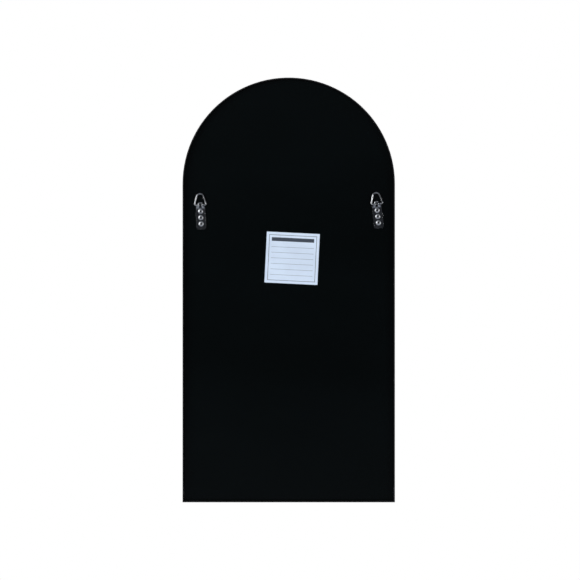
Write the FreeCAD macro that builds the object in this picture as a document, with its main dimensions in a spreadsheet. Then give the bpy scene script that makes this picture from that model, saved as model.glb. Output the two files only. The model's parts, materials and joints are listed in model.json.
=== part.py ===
"""Arched wall mirror: a framed glass on a board, with two ring hangers. Millimetres.

+Z is up and +Y points at the wall. The origin is on the wall plane, at the middle of the bottom edge.
Left and right are those of a person who faces the glass, so left is -X.
"""
import FreeCAD
import Part
import Sketcher
import math
import os

SIZES = (
    # Frame: an L-section of wall and front lip, bent into legs and arch
    ("mirror_width", 400.0),
    ("mirror_height", 800.0),
    ("frame_depth", 25.0),
    ("frame_wall", 2.0),
    ("lip_width", 10.0),
    ("lip_thickness", 2.0),
    ("frame_edge_round", 0.6),
    ("mitre_gap", 0.1),
    # Glass and what holds it
    ("gasket_width", 5.0),
    ("gasket_thickness", 1.0),
    ("glass_thickness", 4.0),
    ("glass_gap", 2.0),
    ("glass_arris", 0.6),
    ("film_thickness", 0.2),
    ("film_setback", 2.0),
    ("tape_thickness", 1.0),
    ("tape_width", 20.0),
    ("tape_count", 4),
    ("tape_end_margin", 50.0),
    ("tape_side_margin", 45.0),
    ("block_length", 30.0),
    ("block_side_margin", 85.0),
    # Board
    ("board_thickness", 9.0),
    ("board_gap", 0.6),
    ("board_edge_round", 0.8),
    # Corner brackets and their machine screws
    ("bracket_leg", 28.0),
    ("bracket_thickness", 2.0),
    ("bracket_depth", 6.5),
    ("bracket_clearance", 0.3),
    ("bracket_first_hole", 10.0),
    ("bracket_hole_pitch", 11.0),
    ("machine_screw_diameter", 3.0),
    ("machine_screw_head", 5.5),
    # Screws through the frame into the board's edge
    ("board_screw_diameter", 3.0),
    ("board_screw_head", 5.6),
    ("board_screw_length", 16.0),
    ("leg_screw_count", 3),
    ("leg_screw_margin", 100.0),
    ("arch_screw_count", 3),
    ("rail_screw_margin", 110.0),
    ("countersunk_recess_width", 0.7),
    ("countersunk_recess_depth", 0.9),
    ("screw_fit", 0.05),
    ("hole_clearance", 0.1),
    # Hangers: a folded strap with a wire ring, three screws each
    ("left_hanger_inset", 34.4),
    ("left_hanger_drop", 37.9),
    ("left_hanger_tilt", 6.0),
    ("left_ring_slide", -0.9),
    ("right_hanger_inset", 33.2),
    ("right_hanger_drop", 39.9),
    ("right_hanger_tilt", 2.5),
    ("right_ring_slide", 0.0),
    ("strap_foot_width", 18.8),
    ("strap_top_width", 16.6),
    ("strap_length", 46.0),
    ("strap_sheet", 1.2),
    ("strap_fold_gap", 0.1),
    ("strap_fold_rise", 2.7),
    ("strap_slope_angle", 22.0),
    ("strap_corner_round", 5.0),
    ("strap_edge_round", 0.4),
    ("neck_width", 8.0),
    ("neck_length", 0.9),
    ("shoulder_length", 2.4),
    ("notch_rise", 2.8),
    ("notch_drop", 5.4),
    ("notch_top_width", 0.7),
    ("notch_foot_width", 6.4),
    ("wire_diameter", 2.6),
    ("ring_fit", 0.1),
    ("ring_width", 23.7),
    ("ring_height", 21.2),
    ("ring_corner_radius", 2.2),
    ("ring_apex_radius", 6.8),
    ("ring_joint_gap", 2.4),
    ("hanger_screw_count", 3),
    ("hanger_screw_drop", 12.0),
    ("hanger_screw_pitch", 11.8),
    ("hanger_screw_diameter", 4.0),
    ("hanger_screw_length", 10.0),
    ("hanger_screw_point", 3.0),
    ("pan_head_diameter", 9.2),
    ("pan_head_height", 2.6),
    ("pan_head_rim", 0.8),
    ("pan_recess_length", 4.6),
    ("pan_recess_width", 1.2),
    ("pan_recess_depth", 1.6),
    # Paper label
    ("label_width", 100.0),
    ("label_height", 96.2),
    ("label_thickness", 0.15),
    ("label_drop", 140.2),
    ("label_offset", -6.4),
    ("label_tilt", -2.8),
)

# Places that several pieces share, as expressions on the sheet. Depths are measured from the wall plane
HALF_WIDTH = "(dims.mirror_width / 2)"
SPRING_HEIGHT = "(dims.mirror_height - dims.mirror_width / 2)"
GLASS_INSET = "(dims.frame_wall + dims.glass_gap)"
FILM_INSET = f"({GLASS_INSET} + dims.film_setback)"
BOARD_INSET = "(dims.frame_wall + dims.board_gap)"
GASKET_FRONT = "(dims.frame_depth - dims.lip_thickness)"
GLASS_FRONT = f"({GASKET_FRONT} - dims.gasket_thickness)"
GLASS_BACK = f"({GLASS_FRONT} - dims.glass_thickness)"
FILM_BACK = f"({GLASS_BACK} - dims.film_thickness)"
BOARD_FRONT = f"({FILM_BACK} - dims.tape_thickness)"
BOARD_BACK = f"({BOARD_FRONT} - dims.board_thickness)"
BOARD_MIDDLE = f"({BOARD_BACK} + dims.board_thickness / 2)"
BRACKET_MIDDLE = f"({BOARD_FRONT} - dims.bracket_depth / 2)"
MACHINE_SCREW_LENGTH = "(dims.frame_wall + dims.bracket_thickness)"
LOOP_INSIDE = "(dims.wire_diameter / 2 + dims.ring_fit)"
LOOP_OUTSIDE = f"({LOOP_INSIDE} + dims.strap_sheet)"
STRAP_FACE = f"(dims.strap_fold_gap + dims.strap_sheet - {LOOP_INSIDE})"

# Angles at which the cross recesses stopped when the screws were driven
RECESS_TURNS = ("12", "58", "35", "71", "24", "47")

# Room by which a cutting shape passes the surface that it cuts
OVERCUT = "1"

# Distance within which an edge counts as lying at a place
TOUCH = 1e-4

doc = FreeCAD.newDocument("arched_wall_mirror")
sheet = doc.addObject("Spreadsheet::Sheet", "dims")


def fill_sheet():
    """Write each size as plain text into a cell with its alias."""
    for row, (alias, size) in enumerate(SIZES, start=1):
        sheet.set(f"A{row}", alias)
        sheet.set(f"B{row}", str(size))
        sheet.setAlias(f"B{row}", alias)
    doc.recompute()


def value(expression):
    return float(sheet.evalExpression(expression))


def new_body(label):
    body = doc.addObject("PartDesign::Body", label)
    body.Label = label
    return body


def new_sketch(body, plane, offset="0"):
    """Attach a sketch to one of the body's origin planes, moved along its normal by offset."""
    sketch = body.newObject("Sketcher::SketchObject", f"{body.Label}_sketch")
    support = next(item for item in body.Origin.OriginFeatures if item.Role == plane)
    sketch.AttachmentSupport = [(support, "")]
    sketch.MapMode = "FlatFace"
    sketch.setExpression("AttachmentOffset.Base.z", offset)
    return sketch


def constrain(sketch, kind, *target, size):
    """Add a constraint whose size is an expression."""
    index = sketch.addConstraint(Sketcher.Constraint(kind, *target, value(size)))
    sketch.setExpression(f"Constraints[{index}]", size)


def pin(sketch, geometry, point, x, y):
    """Hold a point of a sketch at expressions for its distance from the origin."""
    constrain(sketch, "DistanceX", -1, 1, geometry, point, size=x)
    constrain(sketch, "DistanceY", -1, 1, geometry, point, size=y)


def arc_about(centre, radius, start_angle, end_angle):
    circle = Part.Circle(centre, FreeCAD.Vector(0, 0, 1), radius)
    return Part.ArcOfCircle(circle, start_angle, end_angle)


def angle_of(point, centre):
    return math.atan2(point.y - centre.y, point.x - centre.x)


def arc_between(start, end, turn, axis, coordinate):
    """Arc from start to end whose centre, on their bisector, has the given X or Y coordinate."""
    middle = (start + end) * 0.5
    across = FreeCAD.Vector(start.y - end.y, end.x - start.x, 0)
    if axis == "DistanceX":
        share = (coordinate - middle.x) / across.x
    else:
        share = (coordinate - middle.y) / across.y
    centre = middle + across * share
    first, last = (start, end) if turn > 0 else (end, start)
    return arc_about(centre, (start - centre).Length, angle_of(first, centre), angle_of(last, centre))


def contour(sketch, corners, closed=True):
    """Draw edges through corners that are given as pairs of expressions.

    Where an arc arrives at a corner, the pair is followed by the arc's turn, 1 for counterclockwise or -1 for
    clockwise, and by DistanceX or DistanceY with the expression of its centre in that direction.
    """
    points = [FreeCAD.Vector(value(corner[0]), value(corner[1]), 0) for corner in corners]
    edges = []
    for index, corner in enumerate(corners):
        if index == 0 and not closed:
            continue
        start, end = points[index - 1], points[index]
        if len(corner) == 2:
            geometry = sketch.addGeometry(Part.LineSegment(start, end))
            edges.append((geometry, 1, 2))
            continue
        turn, axis, centre = corner[2:]
        geometry = sketch.addGeometry(arc_between(start, end, turn, axis, value(centre)))
        edges.append((geometry, 1, 2) if turn > 0 else (geometry, 2, 1))
        constrain(sketch, axis, -1, 1, geometry, 3, size=centre)
    for index, (geometry, tail, _head) in enumerate(edges):
        if index == 0 and not closed:
            continue
        before, _tail, head = edges[index - 1]
        sketch.addConstraint(Sketcher.Constraint("Coincident", before, head, geometry, tail))
    if not closed:
        pin(sketch, edges[0][0], edges[0][1], *corners[0])
    for corner, (geometry, _tail, head) in zip(corners if closed else corners[1:], edges):
        pin(sketch, geometry, head, corner[0], corner[1])


def circle(sketch, x, y, diameter):
    centre = FreeCAD.Vector(value(x), value(y), 0)
    geometry = sketch.addGeometry(Part.Circle(centre, FreeCAD.Vector(0, 0, 1), value(diameter) / 2))
    pin(sketch, geometry, 3, x, y)
    constrain(sketch, "Diameter", geometry, size=diameter)


def rectangle(sketch, left, right, low, high):
    contour(sketch, [(left, low), (right, low), (right, high), (left, high)])


def arch(sketch, inset):
    """Outline of the mirror, drawn in by inset on every side."""
    left, right = f"{inset} - {HALF_WIDTH}", f"{HALF_WIDTH} - {inset}"
    contour(sketch, [
        (left, inset),
        (right, inset),
        (right, SPRING_HEIGHT),
        (left, SPRING_HEIGHT, 1, "DistanceY", SPRING_HEIGHT),
    ])


def cross(sketch, length, width):
    """Cross recess, centred on the sketch's origin."""
    far, near = f"{length} / 2", f"{width} / 2"
    quarter = [(far, near), (near, near), (near, far)]
    corners = list(quarter)
    corners += [(f"-{x}", y) for x, y in reversed(quarter)]
    corners += [(f"-{x}", f"-{y}") for x, y in quarter]
    corners += [(x, f"-{y}") for x, y in reversed(quarter)]
    contour(sketch, corners)


def pad(body, sketch, length, side="One side"):
    feature = body.newObject("PartDesign::Pad", f"{body.Label}_pad")
    feature.Profile = sketch
    feature.SideType = side
    feature.setExpression("Length", length)
    return feature


def pocket(body, sketch, depth, flip=False, side="One side"):
    """Cut a sketch out of a body and make sure that it took material away."""
    doc.recompute()
    before = body.Shape.Volume
    feature = body.newObject("PartDesign::Pocket", f"{body.Label}_pocket")
    feature.Profile = sketch
    feature.SideType = side
    feature.Reversed = flip
    feature.setExpression("Length", depth)
    doc.recompute()
    if body.Shape.Volume >= before:
        raise RuntimeError(f"a pocket of {body.Label} cut nothing")
    return feature


def revolve(body, sketch, axis):
    feature = body.newObject("PartDesign::Revolution", f"{body.Label}_revolution")
    feature.Profile = sketch
    feature.ReferenceAxis = (sketch, [axis])
    feature.Angle = 360
    return feature


def sweep(body, profile, spine):
    feature = body.newObject("PartDesign::AdditivePipe", f"{body.Label}_pipe")
    feature.Profile = profile
    feature.Spine = (spine, [])
    feature.Mode = "Standard"
    return feature


def dress(body, kind, size_name, size, wanted):
    """Fillet or chamfer the edges of a body that pass a test."""
    doc.recompute()
    base = body.Tip
    names = [f"Edge{number}" for number, edge in enumerate(base.Shape.Edges, start=1) if wanted(edge)]
    feature = body.newObject(f"PartDesign::{kind}", f"{body.Label}_{kind.lower()}")
    feature.Base = (base, names)
    feature.setExpression(size_name, size)
    return feature


def lies_at(edge, coordinate):
    """True for an edge that lies wholly at one Y coordinate."""
    box = edge.BoundBox
    return abs(box.YMin - coordinate) < TOUCH and abs(box.YMax - coordinate) < TOUCH


def place(item, x="0", y="0", z="0", turn="0"):
    """Bind the place of an object, and its turn about +Y in degrees."""
    item.Placement = FreeCAD.Placement(FreeCAD.Vector(), FreeCAD.Rotation(FreeCAD.Vector(0, 1, 0), 1))
    item.setExpression("Placement.Base.x", x)
    item.setExpression("Placement.Base.y", y)
    item.setExpression("Placement.Base.z", z)
    item.setExpression("Placement.Rotation.Angle", f"({turn}) * 1 deg")


def compound(label, items):
    group = doc.addObject("Part::Compound", label)
    group.Label = label
    group.Links = items
    return group


def copies(label, source, places):
    """Group of copies of one object, one at each place."""
    links = []
    for spot in places:
        link = doc.addObject("App::Link", f"{label}_copy")
        link.LinkedObject = source
        place(link, *spot)
        links.append(link)
    return compound(label, links)


def cut(label, base, tools):
    result = doc.addObject("Part::Cut", label)
    result.Label = label
    result.Base = base
    result.Tool = compound(f"{label}_holes", tools)
    return result


def frame_arch_bar():
    """L-section swept up one leg, round the arch and down the other leg, with mitred feet."""
    body = new_body("frame_arch_bar")
    outer, inner = f"-{HALF_WIDTH}", f"dims.lip_width - {HALF_WIDTH}"
    outer_round = f"dims.frame_edge_round - {HALF_WIDTH}"
    inner_round = f"dims.lip_width - dims.frame_edge_round - {HALF_WIDTH}"
    wall_inside = f"dims.frame_wall - {HALF_WIDTH}"
    front, front_round = "-dims.frame_depth", "dims.frame_edge_round - dims.frame_depth"
    lip_back = f"-{GASKET_FRONT}"
    section = new_sketch(body, "XY_Plane")
    contour(section, [
        (outer, front_round),
        (outer_round, front, 1, "DistanceX", outer_round),
        (inner_round, front),
        (inner, front_round, 1, "DistanceX", inner_round),
        (inner, lip_back),
        (wall_inside, lip_back),
        (wall_inside, "0"),
        (outer_round, "0"),
        (outer, "-dims.frame_edge_round", 1, "DistanceX", outer_round),
    ])
    spine = new_sketch(body, "XZ_Plane")
    contour(spine, [
        (f"-{HALF_WIDTH}", "0"),
        (f"-{HALF_WIDTH}", SPRING_HEIGHT),
        (HALF_WIDTH, SPRING_HEIGHT, -1, "DistanceY", SPRING_HEIGHT),
        (HALF_WIDTH, "0"),
    ], closed=False)
    sweep(body, section, spine)
    feet = new_sketch(body, "XZ_Plane")
    low, high = f"dims.mitre_gap - {OVERCUT}", f"dims.mitre_gap + dims.lip_width + {OVERCUT}"
    outside, inside = f"{HALF_WIDTH} + {OVERCUT}", f"{HALF_WIDTH} - dims.lip_width - {OVERCUT}"
    for sign in ("", "-"):
        contour(feet, [
            (f"{sign}({outside})", low),
            (f"{sign}({inside})", low),
            (f"{sign}({inside})", high),
        ])
    pocket(body, feet, f"2 * dims.frame_depth + {OVERCUT}", side="Symmetric")
    return body


def frame_bottom_bar():
    """Straight L-section with mitred ends."""
    body = new_body("frame_bottom_bar")
    front, front_round = "-dims.frame_depth", "dims.frame_edge_round - dims.frame_depth"
    lip_back, edge_round = f"-{GASKET_FRONT}", "dims.frame_edge_round"
    lip_round = "dims.lip_width - dims.frame_edge_round"
    section = new_sketch(body, "YZ_Plane")
    contour(section, [
        (front_round, "0", 1, "DistanceX", front_round),
        (f"-{edge_round}", "0"),
        ("0", edge_round, 1, "DistanceX", f"-{edge_round}"),
        ("0", "dims.frame_wall"),
        (lip_back, "dims.frame_wall"),
        (lip_back, "dims.lip_width"),
        (front_round, "dims.lip_width"),
        (front, lip_round, 1, "DistanceX", front_round),
        (front, edge_round),
    ])
    pad(body, section, "dims.mirror_width", side="Symmetric")
    ends = new_sketch(body, "XZ_Plane")
    low, high = f"-{OVERCUT}", f"dims.lip_width + {OVERCUT}"
    outside, inside = f"{HALF_WIDTH} + {OVERCUT}", f"{HALF_WIDTH} - dims.lip_width - {OVERCUT}"
    for sign in ("", "-"):
        contour(ends, [
            (f"{sign}({outside})", low),
            (f"{sign}({outside})", high),
            (f"{sign}({inside})", high),
        ])
    pocket(body, ends, f"2 * dims.frame_depth + {OVERCUT}", side="Symmetric")
    return body


def arch_plate(label, inset, back, thickness):
    """Plate with the mirror's outline whose back face lies at a depth."""
    body = new_body(label)
    sketch = new_sketch(body, "XZ_Plane", back)
    arch(sketch, inset)
    pad(body, sketch, thickness)
    return body


def lip_gasket():
    body = new_body("lip_gasket")
    sketch = new_sketch(body, "XZ_Plane", GLASS_FRONT)
    arch(sketch, GLASS_INSET)
    arch(sketch, f"({GLASS_INSET} + dims.gasket_width)")
    pad(body, sketch, "dims.gasket_thickness")
    return body


def mirror_glass():
    body = arch_plate("mirror_glass", GLASS_INSET, GLASS_BACK, "dims.glass_thickness")
    front, back = -value(GLASS_FRONT), -value(GLASS_BACK)
    dress(body, "Chamfer", "Size", "dims.glass_arris",
          lambda edge: lies_at(edge, front) or lies_at(edge, back))
    return body


def spread(count, first, last):
    """Expressions for evenly spaced positions from first to last."""
    steps = max(count - 1, 1)
    return [f"({first}) + (({last}) - ({first})) * {step} / {steps}" for step in range(count)]


def mounting_tape():
    strip = new_body("tape_strip")
    sketch = new_sketch(strip, "XZ_Plane", BOARD_FRONT)
    low = f"{FILM_INSET} + dims.tape_end_margin"
    rectangle(sketch, "-dims.tape_width / 2", "dims.tape_width / 2", low, SPRING_HEIGHT)
    pad(strip, sketch, "dims.tape_thickness")
    reach = f"{HALF_WIDTH} - {FILM_INSET} - dims.tape_side_margin"
    columns = spread(int(value("dims.tape_count")), f"-({reach})", reach)
    return copies("mounting_tape", strip, [(column,) for column in columns])


def setting_blocks():
    block = new_body("setting_block")
    sketch = new_sketch(block, "XZ_Plane", GLASS_BACK)
    rectangle(sketch, "-dims.block_length / 2", "dims.block_length / 2", "dims.frame_wall", GLASS_INSET)
    pad(block, sketch, "dims.glass_thickness")
    column = f"{HALF_WIDTH} - {GLASS_INSET} - dims.block_side_margin"
    return copies("setting_blocks", block, [(f"-({column})",), (column,)])


def board_blank():
    """Board with its back edge rounded and a pocket for each corner bracket in its front."""
    body = arch_plate("board_blank", BOARD_INSET, BOARD_BACK, "dims.board_thickness")
    back = -value(BOARD_BACK)
    dress(body, "Fillet", "Radius", "dims.board_edge_round", lambda edge: lies_at(edge, back))
    corners = new_sketch(body, "XZ_Plane", BOARD_FRONT)
    room = "dims.frame_wall + dims.bracket_thickness + dims.bracket_clearance"
    reach = "dims.frame_wall + dims.bracket_leg + dims.bracket_clearance"
    for sign in ("", "-"):
        contour(corners, [
            (f"{sign}({HALF_WIDTH} + {OVERCUT})", f"-{OVERCUT}"),
            (f"{sign}({HALF_WIDTH} + {OVERCUT})", reach),
            (f"{sign}({HALF_WIDTH} - ({room}))", reach),
            (f"{sign}({HALF_WIDTH} - ({room}))", room),
            (f"{sign}({HALF_WIDTH} - ({reach}))", room),
            (f"{sign}({HALF_WIDTH} - ({reach}))", f"-{OVERCUT}"),
        ])
    pocket(body, corners, "dims.bracket_depth + dims.bracket_clearance")
    return body


def bracket_blank(label):
    """Steel angle whose outer corner is at the origin, with legs along +X and +Z."""
    body = new_body(label)
    sketch = new_sketch(body, "XZ_Plane", BRACKET_MIDDLE)
    leg, thickness = "dims.bracket_leg", "dims.bracket_thickness"
    contour(sketch, [
        ("0", "0"),
        (leg, "0"),
        (leg, thickness),
        (thickness, thickness),
        (thickness, leg),
        ("0", leg),
    ])
    pad(body, sketch, "dims.bracket_depth", side="Symmetric")
    return body


def countersunk_screw(label, diameter, head, length):
    """Flush screw along X, with the top of its head at the origin and its point towards -X."""
    body = new_body(label)
    shank, rim = f"{diameter} / 2", f"{head} / 2"
    cone = f"{rim} - {shank}"
    sketch = new_sketch(body, "XY_Plane")
    contour(sketch, [
        ("0", "0"),
        ("0", rim),
        (f"-({cone})", shank),
        (f"{shank} - {length}", shank),
        (f"-{length}", "0"),
    ])
    revolve(body, sketch, "H_Axis")
    recess = new_sketch(body, "YZ_Plane")
    cross(recess, diameter, "dims.countersunk_recess_width")
    pocket(body, recess, "dims.countersunk_recess_depth")
    return body


def countersunk_drill(label, diameter, head, length, room):
    """Hole for a countersunk screw, wider than it by room on every side."""
    body = new_body(label)
    hole, rim = f"{diameter} / 2 + {room}", f"{head} / 2 + {room}"
    cone = f"{head} / 2 - {diameter} / 2"
    sketch = new_sketch(body, "XY_Plane")
    contour(sketch, [
        (OVERCUT, "0"),
        (OVERCUT, rim),
        ("0", rim),
        (f"-({cone})", hole),
        (f"-{length}", hole),
        (f"-{length}", "0"),
    ])
    revolve(body, sketch, "H_Axis")
    return body


def straight_drill(label, plane, diameter, length):
    """Round hole from the origin into the part: towards -X from the YZ plane, or -Y from the XZ plane."""
    body = new_body(label)
    sketch = new_sketch(body, plane)
    circle(sketch, "0", "0", diameter)
    pad(body, sketch, length).Reversed = plane == "YZ_Plane"
    return body


def leg_places(sign, heights, depth):
    """Places on the outside of one leg. The turn points a screw's head outwards."""
    turn = "180" if sign == "-" else "0"
    return [(f"{sign}{HALF_WIDTH}", f"-{depth}", height, turn) for height in heights]


def rail_places(sign, columns, depth):
    """Places on the underside of one half of the bottom rail."""
    return [(f"{sign}({column})", f"-{depth}", "0", "90") for column in columns]


def corner_places(sign):
    """Places of the machine screws through one corner bracket: two in the leg and two in the rail."""
    holes = [f"dims.bracket_first_hole + {index} * dims.bracket_hole_pitch" for index in range(2)]
    heights = [f"dims.frame_wall + {hole}" for hole in holes]
    columns = [f"{HALF_WIDTH} - dims.frame_wall - ({hole})" for hole in holes]
    return leg_places(sign, heights, BRACKET_MIDDLE) + rail_places(sign, columns, BRACKET_MIDDLE)


def arch_places(count, depth):
    """Places round the outside of the arch."""
    spots = []
    for step in range(1, count + 1):
        angle = f"(180 * {step} / {count + 1})"
        x = f"{HALF_WIDTH} * cos({angle} * 1 deg)"
        z = f"{SPRING_HEIGHT} + {HALF_WIDTH} * sin({angle} * 1 deg)"
        spots.append((x, f"-{depth}", z, f"-{angle}"))
    return spots


def strap(label):
    """Sheet folded in two round the ring's bar. The bar's axis is the origin, and the board is at -Y."""
    body = new_body(label)
    along, across = (f"{part}(dims.strap_slope_angle * 1 deg)" for part in ("cos", "sin"))
    foot, rise = "-dims.strap_length", "dims.strap_fold_rise"
    board_side, fold_side = f"-{LOOP_OUTSIDE}", f"-{LOOP_INSIDE}"
    under = f"(dims.strap_fold_gap - {LOOP_INSIDE})"
    side = new_sketch(body, "YZ_Plane")
    contour(side, [
        (board_side, foot),
        (board_side, rise),
        (LOOP_OUTSIDE, rise, -1, "DistanceY", rise),
        (LOOP_OUTSIDE, "0"),
        (f"{LOOP_OUTSIDE} * {along}", f"-{LOOP_OUTSIDE} * {across}", -1, "DistanceX", "0"),
        (STRAP_FACE, slope_foot(STRAP_FACE, LOOP_OUTSIDE)),
        (STRAP_FACE, foot),
        (under, foot),
        (under, slope_foot(under, LOOP_INSIDE)),
        (f"{LOOP_INSIDE} * {along}", f"-{LOOP_INSIDE} * {across}"),
        (LOOP_INSIDE, "0", 1, "DistanceX", "0"),
        (LOOP_INSIDE, rise),
        (fold_side, rise, 1, "DistanceY", rise),
        (fold_side, foot),
    ])
    pad(body, side, "dims.strap_foot_width", side="Symmetric")
    strap_outline(body)
    holes = new_sketch(body, "XZ_Plane")
    for drop in screw_drops():
        circle(holes, "0", f"-({drop})", "dims.hanger_screw_diameter + 2 * dims.hole_clearance")
    notch_top, notch_foot = "dims.notch_top_width / 2", "dims.notch_foot_width / 2"
    contour(holes, [
        (f"-{notch_top}", "dims.notch_rise"),
        (f"-{notch_foot}", "-dims.notch_drop"),
        (notch_foot, "-dims.notch_drop"),
        (notch_top, "dims.notch_rise"),
    ])
    pocket(body, holes, f"4 * {LOOP_OUTSIDE}", side="Symmetric")
    face, shoulder = value(STRAP_FACE), -value("dims.neck_length + dims.shoulder_length")
    dress(body, "Fillet", "Radius", "dims.strap_edge_round",
          lambda edge: lies_at(edge, face) and not edge.isClosed() and edge.BoundBox.ZMin < shoulder - TOUCH)
    return body


def slope_foot(depth, radius):
    """Height at which the slope that leaves the loop at this radius comes down to a depth."""
    angle = "dims.strap_slope_angle * 1 deg"
    return f"({depth} * cos({angle}) - {radius}) / sin({angle})"


def strap_outline(body):
    """Trim the folded sheet to a narrow neck, shoulders, sides that spread and a rounded foot."""
    sketch = new_sketch(body, "XZ_Plane")
    narrow, wide, widest = "dims.neck_width / 2", "dims.strap_top_width / 2", "dims.strap_foot_width / 2"
    corner = f"({widest} - dims.strap_corner_round)"
    top = f"dims.strap_fold_rise + {LOOP_OUTSIDE} + {OVERCUT}"
    neck, shoulder = "-dims.neck_length", "-(dims.neck_length + dims.shoulder_length)"
    foot, foot_round = "-dims.strap_length", "dims.strap_corner_round - dims.strap_length"
    contour(sketch, [
        (f"-{narrow}", top),
        (f"-{narrow}", neck),
        (f"-{wide}", shoulder),
        (f"-{widest}", foot_round),
        (f"-{corner}", foot, 1, "DistanceX", f"-{corner}"),
        (corner, foot),
        (widest, foot_round, 1, "DistanceX", corner),
        (wide, shoulder),
        (narrow, neck),
        (narrow, top),
    ])
    beyond = f"({widest} + {OVERCUT})"
    rectangle(sketch, f"-{beyond}", beyond, f"{foot} - {OVERCUT}", f"{top} + {OVERCUT}")
    pocket(body, sketch, f"4 * {LOOP_OUTSIDE}", side="Symmetric")


def screw_drops():
    """How far below the ring's bar each hanger screw sits."""
    count = int(value("dims.hanger_screw_count"))
    return [f"dims.hanger_screw_drop + {index} * dims.hanger_screw_pitch" for index in range(count)]


def ring(label):
    """Wire bent to a rounded triangle. Its bar lies along X at the origin, open in the middle."""
    body = new_body(label)
    start = "dims.ring_joint_gap / 2"
    section = new_sketch(body, "YZ_Plane", start)
    circle(section, "0", "0", "dims.wire_diameter")
    spine = new_sketch(body, "XZ_Plane")
    corner_radius, apex_radius = "dims.ring_corner_radius", "dims.ring_apex_radius"
    corner_x = f"((dims.ring_width - dims.wire_diameter) / 2 - {corner_radius})"
    apex_z = f"(dims.ring_height - {apex_radius})"
    corner = FreeCAD.Vector(value(corner_x), value(corner_radius), 0)
    apex = FreeCAD.Vector(0, value(apex_z), 0)
    span = apex - corner
    lean = math.atan2(span.y, span.x) - math.acos((value(corner_radius) - value(apex_radius)) / span.Length)
    side = FreeCAD.Vector(math.cos(lean), math.sin(lean), 0)
    arm_low = corner + side * value(corner_radius)
    arm_high = apex + side * value(apex_radius)
    mirrored = [FreeCAD.Vector(-point.x, point.y, 0) for point in (arm_high, arm_low, corner)]
    bar_start, bar_end = FreeCAD.Vector(value(start), 0, 0), FreeCAD.Vector(corner.x, 0, 0)
    edges = [
        Part.LineSegment(bar_start, bar_end),
        arc_about(corner, value(corner_radius), -math.pi / 2, lean),
        Part.LineSegment(arm_low, arm_high),
        arc_about(apex, value(apex_radius), lean, math.pi - lean),
        Part.LineSegment(mirrored[0], mirrored[1]),
        arc_about(mirrored[2], value(corner_radius), math.pi - lean, math.pi * 3 / 2),
        Part.LineSegment(-bar_end, -bar_start),
    ]
    spine.addGeometry(edges)
    for edge in range(len(edges) - 1):
        spine.addConstraint(Sketcher.Constraint("Tangent", edge, 2, edge + 1, 1))
    for bar, end, x in ((0, 1, start), (6, 2, f"-{start}")):
        pin(spine, bar, end, x, "0")
        spine.addConstraint(Sketcher.Constraint("Horizontal", bar))
    for edge, x in ((1, corner_x), (5, f"-{corner_x}")):
        constrain(spine, "Radius", edge, size=corner_radius)
        constrain(spine, "DistanceX", -1, 1, edge, 3, size=x)
    constrain(spine, "Radius", 3, size=apex_radius)
    pin(spine, 3, 3, "0", apex_z)
    sweep(body, section, spine)
    return body


def pan_head_screw(label):
    """Screw along Y, with its head's seat at the origin and its point towards -Y."""
    body = new_body(label)
    head, shank = "dims.pan_head_diameter / 2", "dims.hanger_screw_diameter / 2"
    rise, rim = "dims.pan_head_height", "dims.pan_head_rim"
    point = "dims.hanger_screw_point - dims.hanger_screw_length"
    sketch = new_sketch(body, "XY_Plane")
    contour(sketch, [
        ("0", "-dims.hanger_screw_length"),
        (shank, point),
        (shank, "0"),
        (head, "0"),
        (head, rim),
        ("0", rise, 1, "DistanceX", "0"),
    ])
    revolve(body, sketch, "V_Axis")
    recess = new_sketch(body, "XZ_Plane", f"-{rise}")
    cross(recess, "dims.pan_recess_length", "dims.pan_recess_width")
    pocket(body, recess, "dims.pan_recess_depth", flip=True)
    return body


def hanger_axis(side, sign):
    """Place of a ring's bar: X, Y and Z."""
    x = f"{sign}({HALF_WIDTH} - dims.{side}_hanger_inset)"
    return x, f"{LOOP_OUTSIDE} - {BOARD_BACK}", f"{SPRING_HEIGHT} - dims.{side}_hanger_drop"


def hanger(side, sign, screw):
    """Strap, ring and screws of one hanger. Returns them and the places of the screws."""
    x, y, z = hanger_axis(side, sign)
    tilt = f"dims.{side}_hanger_tilt"
    slide = f"dims.{side}_ring_slide"
    pieces = [strap(f"hanger_strap_{side}"), ring(f"hanger_ring_{side}")]
    place(pieces[0], x, y, z, tilt)
    place(pieces[1], f"{x} + {slide} * cos({tilt} * 1 deg)", y, f"{z} - {slide} * sin({tilt} * 1 deg)", tilt)
    spots = []
    turns = RECESS_TURNS if side == "left" else RECESS_TURNS[::-1]
    for drop, turn in zip(screw_drops(), turns):
        across = f"{x} - ({drop}) * sin({tilt} * 1 deg)"
        down = f"{z} - ({drop}) * cos({tilt} * 1 deg)"
        spots.append((across, f"{y} + {STRAP_FACE}", down, turn))
    pieces.append(copies(f"hanger_screws_{side}", screw, spots))
    return pieces, spots


def paper_label():
    body = new_body("paper_label")
    sketch = new_sketch(body, "XZ_Plane")
    half_width, half_height = "dims.label_width / 2", "dims.label_height / 2"
    rectangle(sketch, f"-{half_width}", half_width, f"-{half_height}", half_height)
    pad(body, sketch, "dims.label_thickness").Reversed = True
    height = f"{SPRING_HEIGHT} - dims.label_drop"
    place(body, "dims.label_offset", f"-{BOARD_BACK}", height, "dims.label_tilt")
    return body


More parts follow.
